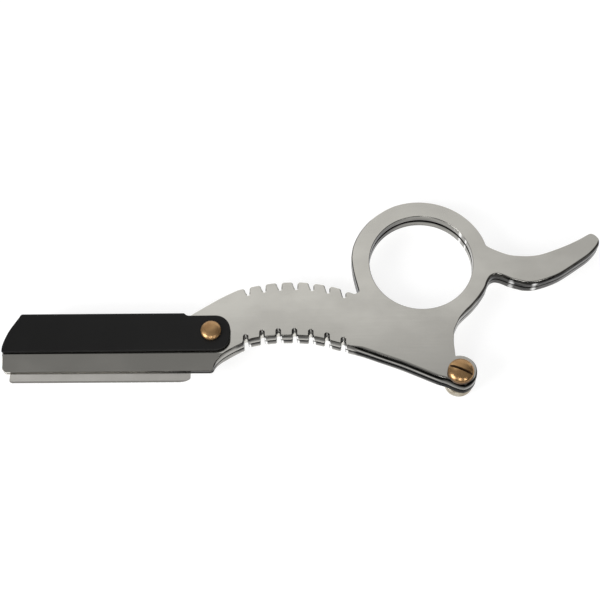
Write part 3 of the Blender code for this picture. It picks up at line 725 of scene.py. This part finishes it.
def makeChannel(steps=7):
    # One closed border runs round the front wall, across the spine's end, round the rear wall and back across the
    # left end. At each of its points a profile goes from the outer skin to the inner one, rounded at both by inset.
    # The walls and the strip of the bends and the spine close the skins.
    c = channel
    wall = channelWall()
    section, facing = channelSection()
    size, wide, columns = len(wall), len(section), c["spineColumns"] + 1
    nose = wall[:c["nosePoints"]][wall[:c["nosePoints"], 1] > c["noseFrom"]]
    leftEnd = np.polyval(np.polyfit(nose[:, 1], nose[:, 0], 2), section[:, 0])
    leftEnd += wall[0, 0] - leftEnd[0]
    rightEnd = c["spineEnd"] + c["top"] - section[:, 0]
    inside, inner = c["top"] - c["sheet"], c["half"] - c["sheet"]
    innerSection = np.c_[np.full(wide, inside), section[:, 1] * inner / c["half"]]
    innerWall = np.c_[wall[:, 0], np.minimum(wall[:, 1], inside)]

    def around(front, right, left):
        return np.r_[front, right[1:-1], front[::-1] * (1, 1, -1), left[1:-1][::-1]]

    outerEdge, innerEdge = (
        around(np.c_[flat, np.full(size, depth)], np.c_[rightEnd, skin], np.c_[leftEnd, skin])
        for flat, depth, skin in ((wall, c["half"], section), (innerWall, inner, innerSection)))
    up = around(np.tile((0.0, 0.0, 1.0), (size, 1)), facing, facing)
    out = unit(np.cross(np.roll(outerEdge, -1, axis=0) - np.roll(outerEdge, 1, axis=0), up))
    deep = unit(innerEdge - outerEdge)
    a = np.linspace(0, math.pi / 2, steps + 1)[:, None, None]
    outerRows = inset(outerEdge, out, deep, c["rounding"], a)
    innerRows = inset(innerEdge, out, -deep, c["rounding"], a)[::-1]
    normals = np.r_[np.cos(a) * up + np.sin(a) * out, (np.cos(a) * deep + np.sin(a) * out)[::-1]]
    total = len(outerEdge)
    faces = gridFaces(2 * steps + 2, total)
    points = [np.r_[outerRows, innerRows].reshape(-1, 3)]
    blocks, walls, rings = [(faces, normals.reshape(-1, 3)[faces])], [], {}
    # the strip, row by row from the front bend to the rear one, between the border's own points
    front = np.arange(size)
    rear = front[::-1] + size + wide - 2
    right = np.r_[size - 1:size + wide - 2, rear[-1]]
    left = np.r_[0, total - 1:total - wide + 1:-1, rear[0]]
    start = len(points[0])
    share = np.linspace(0, 1, columns)[1:-1]
    quads = gridFaces(wide, columns, wrap=False)[:, [0, 3, 2, 1]]
    for base, rows, skin, skinUp, sign in (
            (0, outerRows[0], section, facing, 1),
            (start - total, innerRows[-1], innerSection, np.tile((0.0, -1.0, 0.0), (wide, 1)), -1)):
        x = toward(rows[left, :1], rows[right, :1], share)
        grid = np.dstack([x, np.broadcast_to(skin[:, None], (*x.shape, 2))])
        numbers = start + np.arange(x.size).reshape(x.shape)
        start += x.size
        points.append(grid.reshape(-1, 3))
        table = np.c_[base + left, numbers, base + right].reshape(-1)
        blocks.append(facingOut(table[quads], skinUp[quads // columns], sign > 0))
        for side, ring, row in ((1, front, 0), (-1, rear, -1)):
            walls.append((np.r_[base + ring, numbers[row][::-1]], side, sign))
    # the rivet's hole through each wall, from the outer skin to the inner one
    circle = hole(rivetAt, c["holeRadius"], 0.1)
    count = len(circle)
    outward = np.c_[outOf(circle), np.zeros(count)]
    a = np.linspace(0, math.pi / 2, 4)[:, None, None]
    turn, face = np.r_[a, a[::-1]], np.repeat((1, -1), 4)[:, None, None]
    for side in (1, -1):
        ends = [inset(np.c_[circle, np.full(count, side * height)], outward, np.array((0, 0, deeper)),
                      c["holeRounding"], a) for height, deeper in ((c["half"], -side), (inner, side))]
        grid = np.r_[ends[0], ends[1][::-1]]
        normal = (np.sin(turn) * outward + np.cos(turn) * face * (0, 0, side)).reshape(-1, 3)
        quads = gridFaces(len(grid), count)
        blocks.append(facingOut(start + quads, normal[quads], side > 0))
        rings[side, 1] = start + np.arange(count)
        rings[side, -1] = rings[side, 1] + (len(grid) - 1) * count
        start += len(grid) * count
        points.append(grid.reshape(-1, 3))
    points = np.concatenate(points)
    for border, side, sign in walls:
        blocks.append(capped(points, [border, rings[side, sign]], (0, 0, side * sign)))
    points[:, 2] += stack["middle"]
    addPiece("lockChannel", "lock_channel", "lock", "black_satin_paint", blackPaint, points, blocks)


makeChannel()


# Turned pieces: the rivet, its washer, the nut and the two studs.

def profile(corners):
    # corners are (radius, height, reach); within reach of a corner runs a bend
    p = np.array(corners, float)
    parts = [p[:1, :2]]
    for before, here, after in zip(p, p[1:], p[2:]):
        ends = [here[:2] + unit(other[:2] - here[:2]) * here[2] for other in (before, after)]
        parts.append(bentPoints(ends[0], here[:2], ends[1], 7) if here[2] else here[None, :2])
    return np.concatenate([*parts, p[-1:, :2]])


def turnedPoints(line, b, centre=(0, 0)):
    # each (radius, height) of the line goes round: centre + radius (cos b, sin b)
    x, y = centre[0] + line[:, :1] * np.cos(b), centre[1] + line[:, :1] * np.sin(b)
    return np.dstack([x, y, np.broadcast_to(line[:, 1:], x.shape)]).reshape(-1, 3)


def turnedSurface(line, centre, columns=96):
    # the surface of a line that is listed top to bottom
    b = np.radians(np.linspace(0, 360, columns, endpoint=False))
    return turnedPoints(line, b, centre), [(gridFaces(len(line), columns), None)]


rivet = dict(
    head=2.42, headLow=8.84, headRise=1.0, headEdge=0.4, shank=1.2, tail=0.88, rearHead=1.9, rearRise=0.68,
    washer=2.4, washerStart=2.0, washerEnd=1.9, washerBore=1.26, washerLow=1.0, washerHigh=1.5,
)


def makeRivet():
    r = rivet
    edge = r["headLow"] + r["headEdge"]
    body = profile([
        (r["head"], edge, 0), (r["head"], r["headLow"], 0.06), (r["shank"], r["headLow"], 0.05),
        (r["shank"], r["tail"], 0.05), (r["rearHead"], r["tail"], 0.05), (r["rearHead"], r["rearRise"], 0),
    ])
    line = joined(ellipsePoints((0, edge), (r["head"], r["headRise"]), 90, 0, 26), body[1:],
                  ellipsePoints((0, r["rearRise"]), (r["rearHead"], -r["rearRise"]), 0, 90, 20)[1:])
    addPiece("lockRivet", "lock_rivet", "front_half", "brass", rivetBrass, *turnedSurface(line, rivetAt))
    ring = profile([
        (r["washerStart"], r["washerHigh"], 0), (r["washer"], r["washerHigh"], 0.08),
        (r["washer"], r["washerLow"], 0.08), (r["washerBore"], r["washerLow"], 0.05),
        (r["washerBore"], r["washerHigh"], 0.05), (r["washerEnd"], r["washerHigh"], 0),
    ])
    addPiece("rivetWasher", "rivet_washer", "front_half", "brass", brass,
             *turnedSurface(np.r_[ring, ring[:1]], rivetAt))


makeRivet()

nut = dict(radius=3.4, height=2.7, floor=0.7, bore=1.56, foot=0.75, lip=0.22)


def makeNut():
    n = nut
    line = profile([
        (0, n["floor"], 0), (n["bore"], n["floor"], 0.1), (n["bore"], n["height"], 0.08),
        (n["radius"], n["height"], n["lip"]), (n["radius"], 0, n["foot"]), (0, 0, 0),
    ])
    addPiece("hingeNut", "hinge_nut", "front_half", "brass", nutBrass, *turnedSurface(line, (0, 0), 128))


makeNut()

stud = dict(radius=0.9, low=3.92, high=7.4, rounding=0.1)
for label, place in zip(("Outer", "Inner"), studsAt):
    s = stud
    line = profile([(0, s["high"], 0), (s["radius"], s["high"], s["rounding"]),
                    (s["radius"], s["low"], s["rounding"]), (0, s["low"], 0)])
    addPiece("bladeStud" + label, "blade_stud_" + label.lower(), "front_half", "blade_steel", bladeSteel,
             *turnedSurface(line, place, 48))


# The hinge screw: its head is a dome with a straight slot across it.

screw = dict(
    head=3.1, low=7.64, wall=0.7, rise=1.45, slot=0.52, slotFloor=8.99, slotTurn=-24, lip=0.05, lipSpan=1.3,
    lipClear=1.5, headRimShade=0.8, headRimShadeFrom=(0.955, 0.99), shank=1.9, shankLow=2.82, thread=1.5, tip=0.82,
)


def makeScrew(count=46):
    # Across the slot u = R sin a, and along it v = t sqrt(R^2 - u^2). The height is the dome's, rise sqrt(1 - (u^2 +
    # v^2) / R^2), less what stands over the slot's floor where |u| is under half the slot, with a smooth step.
    c = screw
    radius, half, lip, headRimShade = c["head"], c["slot"] / 2, c["lip"], c["headRimShade"]
    t = np.sin(np.linspace(-math.pi / 2, math.pi / 2, count))
    walls = half + np.linspace(-c["lipSpan"], c["lipSpan"], 9) * lip
    u = radius * t
    u = np.sort(np.r_[u[np.abs(np.abs(u) - half) > c["lipClear"] * lip], walls, -walls])
    wide = len(u)
    x = np.broadcast_to(u[:, None], (wide, count))
    y = t * np.sqrt(np.clip(radius**2 - x**2, 0, None))
    crown = c["low"] + c["wall"] + c["rise"] * np.sqrt(np.clip(1 - (x**2 + y**2) / radius**2, 0, 1))
    s = ramp(np.abs(x), half + lip, half - lip)
    inside = s * s * (3 - 2 * s)
    height = crown - inside * np.clip(crown - c["slotFloor"], 0, None)
    # painted shade in the slot, and round the dome's outer rim, the head's side and all below it
    paintedShade = np.where(crown > c["slotFloor"] + 0.02, inside, 0)
    paintedShade = np.maximum(paintedShade, headRimShade * ramp(np.hypot(x, y) / radius, *c["headRimShadeFrom"]))
    # the grid's border, anticlockwise: up u along t = -1, then back along t = 1
    border = np.r_[np.arange(wide) * count, np.arange(wide - 1, 1, -1) * count - 1]
    points = np.dstack([x, y, height]).reshape(-1, 3)
    line = profile([
        (radius, c["low"] + c["wall"] - 0.1, 0), (radius, c["low"], 0.15), (c["shank"], c["low"], 0.08),
        (c["shank"], c["shankLow"], 0.08), (c["thread"], c["shankLow"], 0.05), (c["thread"], c["tip"], 0.2),
        (0, c["tip"], 0),
    ])
    rows = turnedPoints(line, np.arctan2(points[border, 1], points[border, 0]))
    first = np.arange(len(border)) + len(points)
    faces = (gridFaces(wide, count, wrap=False), np.c_[border, first, np.roll(first, -1), np.roll(border, -1)],
             gridFaces(len(line), len(border), len(points)))
    points = np.r_[points, rows]
    turn = math.radians(c["slotTurn"] + 90)
    points[:, :2] = points[:, :2] @ ((math.cos(turn), math.sin(turn)), (-math.sin(turn), math.cos(turn)))
    addPiece("hingeScrew", "hinge_screw", "front_half", "brass", brass, points, [(block, None) for block in faces],
             {"paintedShade": np.r_[paintedShade.reshape(-1), np.full(len(rows), headRimShade)]})


makeScrew()


# The half blade: thin strip, ground on both sides along its cutting edge.

blade = dict(left=-106.3, length=43.0, edge=-1.13, back=9.87, half=0.05, corner=0.8, taper=3.0, rise=1.1, bay=1.02,
             ground=0.42, tip=0.006, rounding=0.03)


def makeBlade():
    # at every point of the outline the half thickness is half * min(1, (y - edge) / ground), never under tip
    b = blade
    left, edge, back = b["left"], b["edge"], b["back"]
    right, crease = left + b["length"], edge + b["ground"]
    corner = arcPoints((left + b["corner"], edge + b["corner"]), b["corner"], 180, 270, 0.08)
    drawn = ellipsePoints((right - b["taper"], edge + b["rise"]), (b["taper"], b["rise"]), 270, 360, 25)
    parts = [corner, linePoints(corner[-1], drawn[0]), drawn, linePoints(drawn[-1], (right, back))]
    for place in reversed(studsAt):
        bay = arcPoints(place, b["bay"], 0, -180, 0.12)
        parts += [linePoints(parts[-1][-1], bay[0]), bay]
    parts += [linePoints(parts[-1][-1], (left, back)), linePoints((left, back), corner[0])]
    outline = startingAt(joined(*parts), (left + 0.05, crease))
    size = len(outline)
    out = outOf(outline)
    ground = outline - b["rounding"] * out
    last = risesPast(ground, crease)
    ground[[0, last], 1] = crease
    thick = np.maximum(b["tip"], b["half"] * ramp(ground[:, 1], edge, crease))
    points = np.concatenate([np.c_[flat, share * thick] for flat, share in
                             ((ground, 1), (outline, 0.5), (outline, -0.5), (ground, -1))])
    side = np.c_[out, np.zeros(size)]
    normals = np.r_[side * 0.3 + (0, 0, 1), side, side, side * 0.3 - (0, 0, 1)]
    faces = gridFaces(4, size)
    blocks = [(faces, normals[faces])]
    for base, up in ((0, 1), (3 * size, -1)):
        for part, slope in ((np.arange(last + 1), b["half"] / b["ground"]), (np.r_[last:size, 0], 0)):
            blocks.append(capped(points, [part + base], (0, -slope, up)))
    addPiece("halfBlade", "half_blade", "blade", "blade_steel", bladeSteel, points + (0, 0, stack["middle"]), blocks)


makeBlade()


# The camera, at the photograph's place: it stands 300 mm away, rolled by 4 degrees; the angles are in radians.

view = dict(place=(-28.823, -107.666, 276.496), turn=0.0685, rise=1.13, roll=-0.07, lens=74.36, sensor=36.0)


def makeCamera():
    v = view
    data = bpy.data.cameras.new("photoCamera")
    data.lens, data.sensor_width, data.clip_start, data.clip_end = v["lens"], v["sensor"], 0.01, 20
    turned = Matrix.Rotation(v["turn"], 4, "Z") @ Matrix.Rotation(math.pi / 2 - v["rise"], 4, "X")
    camera = placed("photoCamera", data)
    camera.matrix_world = Matrix.Translation(Vector(v["place"]) * mm) @ turned @ Matrix.Rotation(v["roll"], 4, "Z")
    bpy.context.scene.camera = camera


makeCamera()


# The studio, in metres: a white floor, a white background, one curved card over the object and small lamps.

studio = dict(
    floorShade=0.85, floorSeen=0.32, floorGlow=0.8, floorHalf=3.0, worldLight=0.9,
    cardRadius=1.25, cardWidth=1.5, cardFrom=-84, cardTo=52, cardRows=137, cardColumns=61,
    # the card's light by its angle from overhead, in degrees: negative is the camera's side
    cardSteps=((-84, 0.012), (-40, 0.015), (-30, 0.12), (-25, 0.215), (-15, 0.235), (0, 0.28), (14, 0.36), (20, 0.45),
               (22, 0.54), (24, 0.69), (26, 0.85), (28, 0.82), (31, 0.78), (52, 0.75)),
    # and by its place from left to right, which comes in over the angles of sidesFrom
    cardSides=((-1.5, 0.25), (-0.8, 0.6), (-0.55, 1.2), (-0.5, 1.4), (-0.4, 1.33), (-0.24, 1.1), (-0.17, 1.0),
               (-0.03, 1.0), (0.04, 0.96), (0.11, 0.89), (0.18, 0.83), (0.29, 0.7), (0.46, 0.6), (0.6, 0.4),
               (0.9, 0.25), (1.5, 0.2)),
    sidesFrom=(0, 18),
    # the two ends of the arc, left and right
    ends=((-1.5, 0.25), (1.5, 0.18)),
    # each lamp: direction, width, height and radiance
    lamps=(("keyLamp", (-0.77, -0.38, 0.52), 0.5, 0.55, 9.0), ("frontLamp", (-0.1, -0.69, 0.72), 0.2, 0.4, 8.0),
           ("sideLamp", (0.43, -0.66, 0.62), 0.17, 0.36, 8.0)),
    lampReach=1.05,
)


def seenDirectly(tree):
    # 1 for what the camera sees, straight or in a mirror, and 0 for the light that falls on things
    rays = tree.nodes.new("ShaderNodeLightPath").outputs
    seen = reckoned(tree, "MAXIMUM", rays["Is Camera Ray"], rays["Is Glossy Ray"])
    return reckoned(tree, "MAXIMUM", seen, rays["Is Transmission Ray"])


def makeWorld():
    scene = bpy.context.scene
    scene.view_settings.view_transform = "Standard"
    scene.world = bpy.data.worlds.new("studioWorld")
    scene.world.use_nodes = True
    tree = scene.world.node_tree
    tree.nodes.clear()
    level = spread(tree, seenDirectly(tree), studio["worldLight"], 1.0, 0, 1)
    back = put(tree, "Background", {"Color": (1, 1, 1, 1), "Strength": level})
    feed(tree.nodes.new("ShaderNodeOutputWorld"), {"Surface": back})


def stageSheet(name, points, faces):
    # a sheet of the studio, and its empty node tree
    mesh = bpy.data.meshes.new(name)
    mesh.from_pydata(points, [], faces)
    made = bpy.data.materials.new(name)
    made.use_nodes = True
    made.node_tree.nodes.clear()
    mesh.materials.append(made)
    item = placed(name, mesh)
    return item, made.node_tree


def makeFloor():
    wide = studio["floorHalf"]
    corners = [(-wide, -wide, 0), (wide, -wide, 0), (wide, wide, 0), (-wide, wide, 0)]
    _, tree = stageSheet("studioFloor", corners, [(0, 1, 2, 3)])
    matt, pale = (put(tree, "BsdfDiffuse", {"Color": (studio[name],) * 3 + (1,)})
                  for name in ("floorShade", "floorSeen"))
    glow = put(tree, "Emission", {"Strength": studio["floorGlow"]})
    seen = put(tree, "MixShader", {0: seenDirectly(tree), 1: matt, 2: put(tree, "AddShader", {0: pale, 1: glow})})
    feed(tree.nodes.new("ShaderNodeOutputMaterial"), {"Surface": seen})


def stageCard(name, grid, rows, columns, level):
    # a sheet that only reflections and the light itself see, glowing by its own level at each point
    card, tree = stageSheet(name, grid.reshape(-1, 3).tolist(), gridFaces(rows, columns, wrap=False).tolist())
    glow = card.data.attributes.new("glow", "FLOAT", "POINT").data
    glow.foreach_set("value", level.reshape(-1).astype(np.float32))
    shine = put(tree, "Emission", {"Strength": marked(tree, "glow")})
    feed(tree.nodes.new("ShaderNodeOutputMaterial"), {"Surface": shine})
    card.visible_camera = False


def makeCards():
    # an arc about the X axis: y = R sin b and z = R cos b, with b from cardFrom to cardTo, and x from side to side;
    # and a flat end at either side
    c = studio
    r, rows, columns = c["cardRadius"], c["cardRows"], c["cardColumns"]
    b = np.radians(np.linspace(c["cardFrom"], c["cardTo"], rows))[:, None]
    x = np.linspace(-c["cardWidth"], c["cardWidth"], columns)[None]
    side = np.interp(x, *np.array(c["cardSides"]).T) ** ramp(np.degrees(b), *c["sidesFrom"])
    level = np.interp(np.degrees(b), *np.array(c["cardSteps"]).T) * side
    grid = np.dstack([x + 0 * b, r * np.sin(b) + 0 * x, r * np.cos(b) + 0 * x])
    stageCard("studioCard", grid, rows, columns, level)
    for i, (x, light) in enumerate(c["ends"]):
        corners = np.array([(x, -r, 0.001), (x, r, 0.001), (x, -r, r), (x, r, r)])
        stageCard(f"studioEnd{i}", corners, 2, 2, np.full(4, light))


def makeLamps():
    for name, way, width, height, radiance in studio["lamps"]:
        data = bpy.data.lights.new(name, "AREA")
        data.shape, data.size, data.size_y = "RECTANGLE", width, height
        data.energy = radiance * width * height * math.pi
        lamp = placed(name, data)
        way = Vector(way).normalized()
        lamp.location = way * studio["lampReach"]
        lamp.rotation_mode = "QUATERNION"
        lamp.rotation_quaternion = way.to_track_quat("Z", "Y")
        lamp.visible_camera = False


makeWorld()
makeFloor()
makeCards()
makeLamps()
print("studio made")
